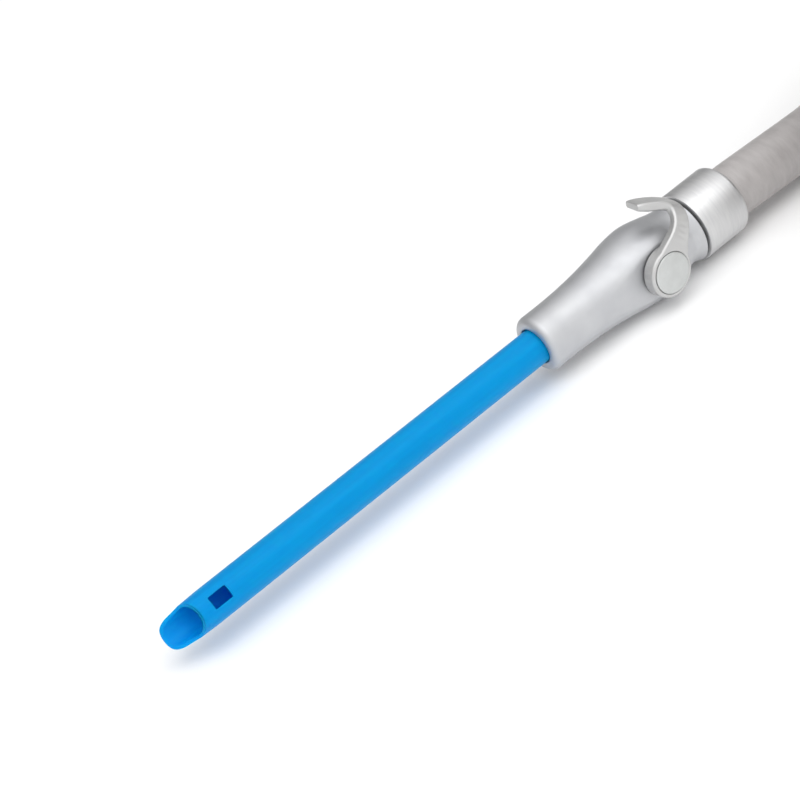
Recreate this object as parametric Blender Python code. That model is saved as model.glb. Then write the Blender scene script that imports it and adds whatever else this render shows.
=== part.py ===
"""A vented high-volume suction tip fitted in its rotary-valve handpiece, with swivel collar and hose.

Metres, +Z up. The flow axis runs along +X from the tip's mouth to the hose. The handpiece lies on z = 0 with its
lever's hub on the -Y side and the lever's thumb tab on top. Every piece but the free hose is placed from the
empty `flow_axis`, whose origin is the centre of the handpiece's nose face.
"""

import math

import bmesh
import bpy
from mathutils import Matrix, Vector

MM = 0.001
GAP = 0.3 * MM  # running clearance, and the gap between pieces that touch

# --- driving dimensions ---------------------------------------------------------------------------------------
TIP_OUTER_R = 5.35 * MM
TIP_WALL = 0.9 * MM
TIP_LENGTH = 158.3 * MM
TIP_INSERTED = 24.3 * MM  # how much of the tip is inside the nose
TIP_TURN = math.radians(55)  # the mouth faces between the top and the lever's side
SCOOP_PROFILE = [  # the mouth's rim seen from the side: place behind the lip, height from the tip's axis
    (0.0, -4.8),
    (0.6, -4.1),
    (1.6, -3.2),
    (3.2, -2.4),
    (5.4, -1.8),
    (7.2, -0.9),
    (8.1, 0.7),
    (8.8, 2.4),
    (9.5, 3.9),
    (10.4, 5.8),
]
TIP_TAPER = 0.2 * MM  # both ends are a little slimmer than the middle
TIP_TAPER_LENGTH = 15 * MM
VENT_LENGTH = 5.9 * MM
VENT_WIDTH = 3.9 * MM
VENT_FROM_MOUTH = 16.9 * MM

BODY_LENGTH = 60.1 * MM
NOSE_R = 8.8 * MM
NOSE_ROUND = 2.3 * MM
HUMP_R = 12.05 * MM
HUMP_X = 41.6 * MM
NECK_R = 9.6 * MM
REAR_R = 10.5 * MM
LEVER_FLAT = 9.3 * MM  # from the flow axis to the flat that the lever's hub turns on
LEVER_FLAT_R = 14.5 * MM  # the round end of that flat, round the lever's axis
FAR_SEAT = 8.4 * MM  # from the flow axis to the round seat of the spool's head, on the other side
FAR_SEAT_R = 12 * MM
FLOW_R = 3.6 * MM  # beside the spool, small enough for the spool to close it in one sweep of the lever
SEAL_WIRE_R = 0.7 * MM
TIP_SEALS_X = (4.6 * MM, 9.9 * MM)

PIVOT_X = 42.7 * MM
SPOOL_R = 6.2 * MM
SPOOL_PORT_HEIGHT = 5.0 * MM
SPOOL_PORT_WIDTH = 9 * MM
SPOOL_HEAD_R = 7.2 * MM
SPOOL_HEAD = 1.4 * MM
SPOOL_SEALS_Y = 6.6 * MM
WASHER = 0.5 * MM

HUB_R = 7.45 * MM
HUB_FACE_Y = -13.9 * MM
CAP_R = 6.1 * MM
CAP_THICKNESS = 1.2 * MM
CAP_PROUD = 0.4 * MM
DRIVE_R = 3.8 * MM  # the six-sided drive between spool and lever, over its corners
DRIVE_LENGTH = 1.5 * MM
SCREW_R = 1.25 * MM
SCREW_HEAD_R = 2.6 * MM
SCREW_HEAD = 0.8 * MM
SCREW_REACH = 5.6 * MM  # its end's distance from the flow axis
LEVER_WEB = 0.8 * MM
ARM_EASE = 0.5 * MM

COLLAR_WALL = 2.6 * MM  # from the hose's outside to the collar's
COLLAR_LENGTH = 16.4 * MM
COLLAR_SPACE = 0.7 * MM  # the dark ring between the body and the collar
COLLAR_ROUND = 1.4 * MM
COLLAR_WEB = 2.5 * MM
SPIGOT_R = 7.0 * MM
SPIGOT_LENGTH = 7.5 * MM
TAILPIECE_BORE_R = 4.7 * MM
FLANGE_R = 8.8 * MM
FLANGE = 1.5 * MM
BARB_R = 6.0 * MM
BARB_LENGTH = 8.5 * MM
SNAP_RING = 1.0 * MM
SNAP_FROM_END = 2.6 * MM  # the snap ring's and the swivel seal's places, from the body's end at the collar
SWIVEL_SEAL_FROM_END = 5.2 * MM

HOSE_R = 8.5 * MM
COLLAR_R = HOSE_R + COLLAR_WALL
HOSE_BORE_R = 6.35 * MM

HANK_RUN = 150 * MM  # straight part of the hank's runs
HANK_FOLD_R = 60 * MM
HANK_FROM_COLLAR = 91 * MM  # from the collar to where the hank's first straight run begins
HANK_TAIL = 51 * MM  # hose on top of the first run, up to the connector
LAYER = 2 * HOSE_R + GAP
TIE_WALL = 1.6 * MM
TIE_WIDTH = 16 * MM

CUFF_R = HOSE_R + 1.8 * MM
CUFF_LENGTH = 20 * MM
PLUG_R = 8.2 * MM
PLUG_LENGTH = 25 * MM
PLUG_COLLAR = 3 * MM

# --- places worked out from them ------------------------------------------------------------------------------
TIP_OUT = TIP_LENGTH - TIP_INSERTED
COLLAR_X = BODY_LENGTH + COLLAR_SPACE
COLLAR_END = COLLAR_X + COLLAR_LENGTH
NOSE_X = (TIP_OUT - COLLAR_END) / 2  # puts the origin under the middle of the tip and handpiece
AXIS_Y = (CAP_PROUD - HUB_FACE_Y - COLLAR_R) / 2  # and between the cap's face and the collar's far side
AXIS_Z = HUMP_R
SOCKET_R = TIP_OUTER_R + GAP
SPOOL_BORE_R = SPOOL_R + GAP
HANK_Z = TIE_WALL + GAP  # underside of the hank, which lies on its ties
HANK_TOP = HANK_Z + 2 * LAYER
HANK_X = NOSE_X + COLLAR_END + HANK_FROM_COLLAR
TAIL_END = HANK_X + HANK_TAIL
HOSE_START = COLLAR_END - 2.4 * MM
SMOOTH = math.radians(35)


# --- helpers --------------------------------------------------------------------------------------------------
def clear_scene():
    for obj in list(bpy.data.objects):
        bpy.data.objects.remove(obj, do_unlink=True)


def material(name, colour, roughness, metallic=0.0):
    made = bpy.data.materials.new(name)
    made.use_nodes = True
    shader = made.node_tree.nodes["Principled BSDF"]
    shader.inputs["Base Color"].default_value = (*colour, 1.0)
    shader.inputs["Roughness"].default_value = roughness
    shader.inputs["Metallic"].default_value = metallic
    made.diffuse_color = (*colour, 1.0)
    return made


def empty(name, place, parent=None):
    made = bpy.data.objects.new(name, None)
    bpy.context.collection.objects.link(made)
    made.location = place
    made.parent = parent
    return made


def put(name, bm, parent=None, finish=None, place=(0, 0, 0), turn=(0, 0, 0)):
    """Makes an object of a bmesh and shades its round faces smooth."""
    bmesh.ops.recalc_face_normals(bm, faces=bm.faces)
    mesh = bpy.data.meshes.new(name)
    bm.to_mesh(mesh)
    bm.free()
    mesh.shade_smooth()
    mesh.set_sharp_from_angle(angle=SMOOTH)
    made = bpy.data.objects.new(name, mesh)
    bpy.context.collection.objects.link(made)
    made.parent = parent
    made.location = place
    made.rotation_euler = turn
    if finish:
        mesh.materials.append(finish)
    return made


def boolean(target, other, operation="DIFFERENCE"):
    """Cuts a hidden helper from the target, or joins it on."""
    other.hide_render = True
    other.display_type = "WIRE"
    step = target.modifiers.new(other.name, "BOOLEAN")
    step.operation = operation
    step.solver = "EXACT"
    step.object = other


def turned(outline, steps=40, along="X"):
    """Turns a closed outline of (place along the axis, radius) points round the X or the Y axis."""
    bm = bmesh.new()
    axis = Vector((1, 0, 0)) if along == "X" else Vector((0, 1, 0))
    points = [bm.verts.new(axis * a + Vector((0, 0, r))) for a, r in outline]
    edges = [bm.edges.new((points[i - 1], points[i])) for i in range(len(points))]
    bmesh.ops.spin(bm, geom=points + edges, cent=(0, 0, 0), axis=axis, angle=math.tau, steps=steps, use_merge=True)
    bmesh.ops.remove_doubles(bm, verts=bm.verts, dist=0.001 * MM)
    bmesh.ops.dissolve_degenerate(bm, edges=bm.edges, dist=0.001 * MM)
    return bm


def rod(start, end, radius, steps=32, along="X"):
    """A plain round bar."""
    return turned([(start, 0), (start, radius), (end, radius), (end, 0)], steps, along)


def ring(start, end, inner, outer, steps=32, along="X"):
    """A plain tube."""
    return turned([(start, inner), (end, inner), (end, outer), (start, outer)], steps, along)


def seal(middle, inner, wire_r=SEAL_WIRE_R, steps=24, along="X"):
    """An O-ring round the axis."""
    sides = 6
    round_wire = [math.tau * (i + 0.5) / sides for i in range(sides)]
    outline = [(middle + wire_r * math.cos(a), inner + wire_r * (1 + math.sin(a))) for a in round_wire]
    return turned(outline, steps, along)


def arc(centre, radius, start, end, steps):
    """Points along an arc, its angles in degrees."""
    angles = [math.radians(start + (end - start) * i / steps) for i in range(steps + 1)]
    return [(centre[0] + radius * math.cos(a), centre[1] + radius * math.sin(a)) for a in angles]


def smooth(knots, steps):
    """A smooth curve through the knots, with this many steps between two of them."""
    knots = [Vector(k) for k in knots]
    ends = [2 * knots[0] - knots[1]] + knots + [2 * knots[-1] - knots[-2]]
    curve = []
    for before, here, after, beyond in zip(ends, ends[1:], ends[2:], ends[3:]):
        for i in range(steps):
            t = i / steps
            bend = (2 * before - 5 * here + 4 * after - beyond) * t + (3 * here - before - 3 * after + beyond) * t * t
            curve.append(here + ((after - before) + bend) * t / 2)
    return curve + [knots[-1]]


def prism(outline, low, high):
    """Extrudes a flat outline of (x, y) points from low to high along Z."""
    bm = bmesh.new()
    face = bm.faces.new([bm.verts.new((x, y, low)) for x, y in outline])
    grown = bmesh.ops.extrude_face_region(bm, geom=[face])["geom"]
    moved = [v for v in grown if isinstance(v, bmesh.types.BMVert)]
    bmesh.ops.translate(bm, vec=(0, 0, high - low), verts=moved)
    return bm


def block(low, high):
    """A box between two corners."""
    return prism([(low[0], low[1]), (high[0], low[1]), (high[0], high[1]), (low[0], high[1])], low[2], high[2])


def sideways(bm):
    """Turns an outline drawn over X and Z, extruded along Z, so that its thickness runs along Y."""
    bmesh.ops.rotate(bm, verts=bm.verts, cent=(0, 0, 0), matrix=Matrix.Rotation(math.radians(90), 3, "X"))
    return bm


# --- the tip --------------------------------------------------------------------------------------------------
def scoop_cutter(name, parent):
    """What the mouth's opening takes away: blunt at the lip, a long floor that curves up into the back."""
    above = 2 * TIP_OUTER_R
    rim = smooth([Vector((x, z, 0)) * MM for x, z in SCOOP_PROFILE], 2)
    outline = [(-above, rim[0].y)] + [(p.x, p.y) for p in rim] + [(rim[-1].x, above), (-above, above)]
    return put(name, sideways(prism(outline, -above, above)), parent)


def suction_tip(frame, finish):
    """A thin tube, scooped at both ends, with one vent window behind the mouth."""
    inner = TIP_OUTER_R - TIP_WALL
    ease = 0.3 * MM
    slim = [(ease, -TIP_TAPER), (TIP_TAPER_LENGTH / 2, -TIP_TAPER), (TIP_TAPER_LENGTH, 0)]
    lip = (inner - TIP_TAPER + ease, TIP_OUTER_R - TIP_TAPER - ease)
    outline = [(0, lip[0])] + [(x, inner + less) for x, less in slim]
    outline += [(TIP_LENGTH - x, inner + less) for x, less in reversed(slim)]
    outline += [(TIP_LENGTH, lip[0]), (TIP_LENGTH, lip[1])]
    outline += [(TIP_LENGTH - x, TIP_OUTER_R + less) for x, less in slim]
    outline += [(x, TIP_OUTER_R + less) for x, less in reversed(slim)] + [(0, lip[1])]
    tip = put("suction_tip", turned(outline, 48), frame, finish, (-TIP_OUT, 0, 0), (TIP_TURN, 0, 0))
    mouth = scoop_cutter("mouth_cutter", tip)
    tail = scoop_cutter("tail_cutter", tip)
    tail.location = (TIP_LENGTH, 0, 0)
    tail.rotation_euler = (0, math.pi, 0)
    vent_half = Vector((VENT_LENGTH, VENT_WIDTH)) / 2
    low = (VENT_FROM_MOUTH - vent_half.x, -vent_half.y, inner / 2)
    high = (VENT_FROM_MOUTH + vent_half.x, vent_half.y, 2 * TIP_OUTER_R)
    for cutter in (mouth, tail, put("vent_cutter", block(low, high), tip)):
        boolean(tip, cutter)


# --- the handpiece's body -------------------------------------------------------------------------------------
def body_outline():
    """The outside of the body, from the nose's face to the end at the collar."""
    nose = arc((NOSE_ROUND, NOSE_R - NOSE_ROUND), NOSE_ROUND, 180, 90, 6)
    rise = HUMP_R - NOSE_R
    fall = HUMP_R - NECK_R
    front = [(0.18, 0.01), (0.36, 0.09), (0.54, 0.27), (0.72, 0.56), (0.87, 0.86)]
    rear = [(0.2, 0.1), (0.45, 0.5), (0.65, 0.86), (0.82, 1.0)]
    swell = [(NOSE_ROUND, NOSE_R)] + [(NOSE_ROUND + (HUMP_X - NOSE_ROUND) * a, NOSE_R + rise * b) for a, b in front]
    swell += [(HUMP_X, HUMP_R)]
    swell += [(HUMP_X + (BODY_LENGTH - HUMP_X) * a, HUMP_R - fall * b) for a, b in rear]
    ease = 0.3 * MM
    swell += [(BODY_LENGTH - ease, REAR_R)]
    return nose + [tuple(p) for p in smooth(swell, 2)][1:] + [(BODY_LENGTH, REAR_R - ease)]


def body_bore():
    """The inside, from the end at the collar back to the nose: swivel socket, flow bore and tip socket."""
    swivel_r = SPIGOT_R + GAP
    swivel_x = BODY_LENGTH - SPIGOT_LENGTH
    snap_x = BODY_LENGTH - SNAP_FROM_END
    snap_r = swivel_r + 0.8 * MM
    half = SNAP_RING / 2 + GAP
    inside = [(BODY_LENGTH, swivel_r), (snap_x + half, swivel_r), (snap_x + half, snap_r)]
    inside += [(snap_x - half, snap_r), (snap_x - half, swivel_r), (swivel_x, swivel_r), (swivel_x, FLOW_R)]
    stop = TIP_INSERTED + 4 * GAP
    inside += [(stop, FLOW_R), (stop, SOCKET_R)]
    groove = SEAL_WIRE_R + GAP
    for x in reversed(TIP_SEALS_X):
        depth = SOCKET_R + 2 * SEAL_WIRE_R + GAP
        inside += [(x + groove, SOCKET_R), (x + groove, depth), (x - groove, depth), (x - groove, SOCKET_R)]
    return inside + [(0, SOCKET_R)]


def handpiece_body(frame, finish):
    """A turned metal body with a hump round the valve, a flat for the lever and a bore across for the spool."""
    body = put("handpiece_body", turned(body_outline() + body_bore(), 44), frame, finish)
    reach = 2 * HUMP_R
    stepped = [(-reach, 0), (-reach, SPOOL_BORE_R), (FAR_SEAT, SPOOL_BORE_R), (FAR_SEAT, FAR_SEAT_R)]
    stepped += [(reach, FAR_SEAT_R), (reach, 0)]
    across = put("spool_bore_cutter", turned(stepped, 40, "Y"), body, place=(PIVOT_X, 0, 0))
    round_end = arc((PIVOT_X, 0), LEVER_FLAT_R, 90, -90, 24)
    outline = round_end + [(NOSE_ROUND, -LEVER_FLAT_R), (NOSE_ROUND, LEVER_FLAT_R)]
    flat = put("lever_flat_cutter", sideways(prism(outline, LEVER_FLAT, reach)), body)
    for cutter in (across, flat):
        boolean(body, cutter)


# --- the valve ------------------------------------------------------------------------------------------------
def six_sided(corner_r, low, high):
    """A six-sided bar along Y."""
    corners = [(corner_r * math.cos(a), corner_r * math.sin(a)) for a in [math.tau * i / 6 for i in range(6)]]
    return sideways(prism(corners, -high, -low))


def valve_spool(pivot, finish):
    """A plug across the body: head on the far side, two seal grooves, and a slot that the flow passes through."""
    head_y = FAR_SEAT + WASHER + 2 * GAP
    lever_end = GAP - LEVER_FLAT
    groove_r = SPOOL_R - 2 * SEAL_WIRE_R - GAP
    half = SEAL_WIRE_R + GAP
    ease = 0.5 * MM
    outline = [(lever_end, 0), (lever_end, SPOOL_R)]
    for y in (-SPOOL_SEALS_Y, SPOOL_SEALS_Y):
        outline += [(y - half, SPOOL_R), (y - half, groove_r), (y + half, groove_r), (y + half, SPOOL_R)]
    outline += [(head_y, SPOOL_R), (head_y, SPOOL_HEAD_R), (head_y + SPOOL_HEAD - ease, SPOOL_HEAD_R)]
    outline += [(head_y + SPOOL_HEAD, SPOOL_HEAD_R - ease), (head_y + SPOOL_HEAD, 0)]
    spool = put("valve_spool", turned(outline, 32, "Y"), pivot, finish)
    drive = six_sided(DRIVE_R, lever_end - DRIVE_LENGTH, lever_end + 0.5 * MM)
    boolean(spool, put("drive_joiner", drive, spool), "UNION")
    thread = rod(lever_end - 2 * DRIVE_LENGTH, GAP - SCREW_REACH, SCREW_R + GAP, 20, "Y")
    boolean(spool, put("thread_cutter", thread, spool))
    corner = SPOOL_PORT_HEIGHT / 2
    side = SPOOL_PORT_WIDTH / 2 - corner
    slot = arc((side, 0), corner, -90, 90, 8) + arc((-side, 0), corner, 90, 270, 8)
    bm = prism(slot, -2 * SPOOL_R, 2 * SPOOL_R)
    quarter = math.radians(90)
    along_flow = Matrix.Rotation(quarter, 3, "Y") @ Matrix.Rotation(quarter, 3, "Z")
    bmesh.ops.rotate(bm, verts=bm.verts, matrix=along_flow)
    boolean(spool, put("port_cutter", bm, spool))


LEVER_ARM = [  # from the hub to the thumb tab's end: middle of the outer face, tilt and lean, width, thickness
    ((0.6, -13.9, 1.2), 0, 0, 12.5, 3.0),
    ((3.4, -13.9, 4.4), 0, 0, 10.2, 3.0),
    ((6.2, -13.9, 7.4), 2, 5, 7.2, 3.0),
    ((8.6, -13.5, 9.9), 14, 12, 5.6, 3.0),
    ((10.6, -12.2, 12.4), 36, 22, 5.0, 2.8),
    ((11.8, -9.8, 14.6), 58, 36, 5.2, 2.6),
    ((11.0, -7.6, 16.4), 75, 44, 5.8, 2.6),
    ((8.4, -6.0, 18.2), 85, 40, 6.8, 2.8),
    ((4.9, -5.1, 19.9), 89, 30, 7.0, 2.8),
    ((2.6, -4.7, 20.8), 90, 24, 6.9, 2.4),
    ((1.2, -4.5, 21.2), 90, 20, 6.3, 2.0),
]


def lever_arm():
    """The arm that rises beside the body, bends over it and ends in the thumb tab, as one loft of sections."""
    places = smooth([Vector(place) * MM for place, *_ in LEVER_ARM], 2)
    turns = smooth([Vector((math.radians(tilt), math.radians(lean), 0)) for _, tilt, lean, *_ in LEVER_ARM], 2)
    sizes = smooth([Vector((width, thick, 0)) * MM for *_, width, thick in LEVER_ARM], 2)
    ends = [places[0]] + places + [places[-1]]
    bm = bmesh.new()
    rings = []
    for before, place, after, turn, size in zip(ends, places, ends[2:], turns, sizes):
        tilt, lean = turn.x, turn.y
        face = Vector((math.sin(lean) * math.sin(tilt), -math.cos(tilt), math.cos(lean) * math.sin(tilt)))
        across = (after - before).cross(face).normalized()
        face = across.cross(after - before).normalized()
        half, thick = size.x / 2, size.y
        corners = [(half, ARM_EASE), (half - ARM_EASE, 0), (ARM_EASE - half, 0), (-half, ARM_EASE)]
        corners += [(-half, thick - ARM_EASE), (ARM_EASE - half, thick)]
        corners += [(half - ARM_EASE, thick), (half, thick - ARM_EASE)]
        rings.append([bm.verts.new(place + across * a - face * b) for a, b in corners])
    for one, two in zip(rings, rings[1:]):
        for k in range(8):
            bm.faces.new((one[k], one[(k + 1) % 8], two[(k + 1) % 8], two[k]))
    bm.faces.new(rings[0])
    bm.faces.new(list(reversed(rings[-1])))
    return bm


def control_lever(pivot, finish):
    """A round hub on the spool's drive, with a pocket for the cap in its face, and the arm with the thumb tab."""
    hub_back = -LEVER_FLAT - GAP
    ease = 0.5 * MM
    outline = [(HUB_FACE_Y, 0), (HUB_FACE_Y, HUB_R - ease), (HUB_FACE_Y + ease, HUB_R)]
    outline += [(hub_back - ease, HUB_R), (hub_back, HUB_R - ease), (hub_back, 0)]
    lever = put("control_lever", turned(outline, 40, "Y"), pivot, finish)
    boolean(lever, put("arm_joiner", lever_arm(), lever), "UNION")
    drive_end = -LEVER_FLAT - DRIVE_LENGTH
    boolean(lever, put("drive_cutter", six_sided(DRIVE_R + GAP, drive_end, 0), lever))
    pocket = HUB_FACE_Y - CAP_PROUD + CAP_THICKNESS + GAP
    boolean(lever, put("cap_pocket_cutter", rod(2 * HUB_FACE_Y, pocket, CAP_R + GAP / 2, 40, "Y"), lever))
    seat = drive_end - LEVER_WEB
    boolean(lever, put("screw_seat_cutter", rod(HUB_FACE_Y, seat, SCREW_HEAD_R + GAP, 24, "Y"), lever))
    boolean(lever, put("screw_hole_cutter", rod(HUB_FACE_Y, 0, SCREW_R + GAP, 20, "Y"), lever))
    return seat


def lever_screw(pivot, seat, finish):
    """The screw that holds the lever on the spool, with a six-sided socket in its head."""
    under = seat - GAP
    outline = [(under - SCREW_HEAD, 0), (under - SCREW_HEAD, SCREW_HEAD_R), (under, SCREW_HEAD_R)]
    outline += [(under, SCREW_R), (-SCREW_REACH, SCREW_R), (-SCREW_REACH, 0)]
    screw = put("lever_screw", turned(outline, 24, "Y"), pivot, finish)
    socket = six_sided(1.4 * MM, under - 2 * SCREW_HEAD, under - 0.4 * MM)
    boolean(screw, put("screw_socket_cutter", socket, screw))


def lever_cap(pivot, finish):
    """The plain round cap over the screw."""
    face = HUB_FACE_Y - CAP_PROUD
    ease = 0.25 * MM
    radius = CAP_R - GAP / 2
    outline = [(face, 0), (face, radius - ease), (face + ease, radius)]
    outline += [(face + CAP_THICKNESS, radius), (face + CAP_THICKNESS, 0)]
    put("lever_cap", turned(outline, 40, "Y"), pivot, finish)


# --- swivel, collar and hose end ------------------------------------------------------------------------------
def hose_tailpiece(frame, finish, rubber):
    """The swivel's inner tube: spigot in the body, flange behind the collar's web, and a barb in the hose."""
    start = BODY_LENGTH - SPIGOT_LENGTH + GAP
    flange_x = COLLAR_X + COLLAR_WEB + GAP
    barb_x = flange_x + FLANGE
    snap_x = BODY_LENGTH - SNAP_FROM_END
    half = SNAP_RING / 2 + GAP
    seal_x = BODY_LENGTH - SWIVEL_SEAL_FROM_END
    seal_half = SEAL_WIRE_R + GAP
    seal_r = SPIGOT_R - 2 * SEAL_WIRE_R - GAP / 2
    outline = [(start, TAILPIECE_BORE_R), (start, SPIGOT_R), (seal_x - seal_half, SPIGOT_R), (seal_x - seal_half, seal_r)]
    outline += [(seal_x + seal_half, seal_r), (seal_x + seal_half, SPIGOT_R)]
    outline += [(snap_x - half, SPIGOT_R), (snap_x - half, SPIGOT_R - 0.7 * MM), (snap_x + half, SPIGOT_R - 0.7 * MM)]
    outline += [(snap_x + half, SPIGOT_R), (flange_x, SPIGOT_R), (flange_x, FLANGE_R), (barb_x, FLANGE_R)]
    root = BARB_R - 0.5 * MM
    tooth = BARB_LENGTH / 3
    outline += [(barb_x, root)]
    for i in range(3):
        outline += [(barb_x + tooth * i + 0.6 * MM, root), (barb_x + tooth * i + 0.6 * MM, BARB_R)]
        outline += [(barb_x + tooth * (i + 1), root)]
    outline += [(barb_x + BARB_LENGTH, TAILPIECE_BORE_R)]
    put("hose_tailpiece", turned(outline, 28), frame, finish)
    put("swivel_seal", seal(seal_x, seal_r + GAP / 2), frame, rubber)
    return snap_x, barb_x


def swivel_snap_ring(frame, snap_x, finish):
    """A split spring ring, half in the body's groove and half in the spigot's."""
    half = SNAP_RING / 2
    low = SPIGOT_R - 0.4 * MM
    high = SPIGOT_R + 0.8 * MM
    snap = put("swivel_snap_ring", ring(snap_x - half, snap_x + half, low, high), frame, finish)
    split = block((snap_x - 2 * half, -0.8 * MM, 0), (snap_x + 2 * half, 0.8 * MM, 2 * high))
    boolean(snap, put("snap_ring_cutter", split, snap))


def swivel_collar(frame, finish):
    """The collar: a web round the spigot in front, room for the hose's end, and a rounded rear edge."""
    web_r = SPIGOT_R + GAP
    room_r = FLANGE_R + GAP
    ease = 0.3 * MM
    outline = [(COLLAR_X, web_r), (COLLAR_X, COLLAR_R - ease), (COLLAR_X + ease, COLLAR_R)]
    outline += arc((COLLAR_END - COLLAR_ROUND, COLLAR_R - COLLAR_ROUND), COLLAR_ROUND, 90, 0, 4)
    outline += [(COLLAR_END, HOSE_R + GAP + ease), (COLLAR_END - ease, HOSE_R + GAP)]
    outline += [(COLLAR_END - 2 * MM, HOSE_R + GAP), (COLLAR_END - 2 * MM, room_r)]
    outline += [(COLLAR_X + COLLAR_WEB, room_r), (COLLAR_X + COLLAR_WEB, web_r)]
    put("swivel_collar", turned(outline, 40), frame, finish)


# --- the free hose --------------------------------------------------------------------------------------------
def hose_route():
    """The free hose from the collar to the hank, coming down to the height of the hank's lower turn."""
    low = HANK_Z + LAYER / 2
    high = AXIS_Z
    meet = HANK_X - math.sqrt(4 * HANK_FOLD_R * HOSE_R) - GAP
    start = NOSE_X + HOSE_START
    level = 8 * MM  # straight at both ends
    route = [(start, high), (start + level, high), ((start + meet) / 2, (high + low) / 2), (meet - level, low)]
    route.append((meet, low))
    return [tuple(p) for p in smooth([(x, AXIS_Y, z) for x, z in route], 2)], meet


def tube(name, points, radius, finish):
    """A solid round tube along the points."""
    curve = bpy.data.curves.new(name, "CURVE")
    curve.dimensions = "3D"
    curve.bevel_depth = radius
    curve.bevel_resolution = 4
    curve.use_fill_caps = True
    line = curve.splines.new("POLY")
    line.points.add(len(points) - 1)
    for point, place in zip(line.points, points):
        point.co = (*place, 1)
    curve.materials.append(finish)
    made = bpy.data.objects.new(name, curve)
    bpy.context.collection.objects.link(made)


def long_round(half_width, steps=14):
    """A long outline with round ends round the hank's middle line, at this distance from it."""
    far = HANK_X + HANK_RUN
    middle = AXIS_Y - HANK_FOLD_R
    radius = HANK_FOLD_R + half_width
    return arc((far, middle), radius, 90, -90, steps) + arc((HANK_X, middle), radius, -90, -270, steps)


def hose_hank(meet, finish):
    """The folded hose as one solid: two turns on each other, the lead at its foot and the tail on its top."""
    hank = put("hose_hank", prism(long_round(HOSE_R), HANK_Z, HANK_TOP), None, finish)
    inside = put("hank_middle_cutter", prism(long_round(-HOSE_R), -HANK_TOP, 2 * HANK_TOP), None)
    boolean(hank, inside)
    sunk = 4 * MM
    side = HOSE_R - GAP
    lead = block((meet + GAP, AXIS_Y - HOSE_R, HANK_Z), (HANK_X + sunk, AXIS_Y + side, HANK_Z + LAYER))
    boolean(hank, put("hank_lead_joiner", lead, None), "UNION")
    tail_top = HANK_TOP + 2 * CUFF_R
    tail = block((HANK_X, AXIS_Y - side, HANK_TOP - sunk), (TAIL_END, AXIS_Y + side, tail_top))
    boolean(hank, put("hank_tail_joiner", tail, None), "UNION")


def hank_tie(name, x, y, finish):
    """A strap buckled round two layers of the hank."""
    half = HOSE_R + GAP
    outer = half + TIE_WALL
    tie = put(name, block((x, y - outer, 0), (x + TIE_WIDTH, y + outer, HANK_TOP + GAP + TIE_WALL)), None, finish)
    hole = block((x - TIE_WIDTH, y - half, TIE_WALL), (x + 2 * TIE_WIDTH, y + half, HANK_TOP + GAP))
    boolean(tie, put(name + "_cutter", hole, None))


def connector(grey, rubber):
    """The hose's far end, which plugs into the suction unit: rubber cuff, moulded plug and its seal."""
    axis = empty("connector_axis", (TAIL_END + GAP, AXIS_Y, HANK_TOP + CUFF_R + GAP))
    bore = HOSE_R + GAP
    groove = 0.5 * MM
    outline = [(0, bore), (CUFF_LENGTH, bore), (CUFF_LENGTH, CUFF_R)]
    for i in (4, 3, 2):
        x = CUFF_LENGTH * i / 6
        outline += [(x + MM, CUFF_R), (x + 0.7 * MM, CUFF_R - groove), (x - 0.7 * MM, CUFF_R - groove), (x - MM, CUFF_R)]
    outline += [(3 * MM, CUFF_R), (0, CUFF_R - 0.8 * MM)]
    put("connector_cuff", turned(outline, 28), axis, rubber)
    collar_x = CUFF_LENGTH + GAP
    face = collar_x + PLUG_COLLAR
    end = face + PLUG_LENGTH
    seal_x = face + PLUG_LENGTH * 0.6
    depth = PLUG_R - 2 * SEAL_WIRE_R
    half = SEAL_WIRE_R + GAP
    outline = [(CUFF_LENGTH / 2, HOSE_BORE_R), (CUFF_LENGTH / 2, HOSE_R - GAP), (collar_x, HOSE_R - GAP)]
    outline += [(collar_x, CUFF_R), (face, CUFF_R), (face, PLUG_R), (seal_x - half, PLUG_R), (seal_x - half, depth)]
    outline += [(seal_x + half, depth), (seal_x + half, PLUG_R), (end - 4 * MM, PLUG_R), (end, PLUG_R - 0.8 * MM)]
    outline += [(end, HOSE_BORE_R)]
    put("canister_connector", turned(outline, 28), axis, grey)
    put("connector_seal", seal(seal_x, depth + GAP), axis, rubber)


# --- the whole ------------------------------------------------------------------------------------------------
clear_scene()
BLUE = material("blue_polypropylene", (0.0, 0.28, 0.72), 0.3)
SATIN = material("satin_aluminium", (0.62, 0.63, 0.65), 0.38, 0.9)
LEVER_GREY = material("lever_satin_metal", (0.55, 0.55, 0.55), 0.42, 0.8)
CAP_GREY = material("cap_satin_metal", (0.6, 0.61, 0.6), 0.45, 0.8)
COLLAR_METAL = material("collar_anodised", (0.66, 0.66, 0.66), 0.34, 0.95)
STEEL = material("stainless_steel", (0.58, 0.58, 0.6), 0.3, 1.0)
PTFE = material("white_ptfe", (0.8, 0.8, 0.78), 0.5)
RUBBER = material("black_rubber", (0.03, 0.03, 0.03), 0.6)
VINYL = material("grey_vinyl", (0.4, 0.38, 0.37), 0.45)
GREY_PLASTIC = material("grey_abs", (0.3, 0.31, 0.32), 0.45)
STRAP = material("strap_fabric", (0.05, 0.05, 0.06), 0.9)

flow_axis = empty("flow_axis", (NOSE_X, AXIS_Y, AXIS_Z))
valve_axis = empty("valve_axis", (PIVOT_X, 0, 0), flow_axis)

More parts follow.
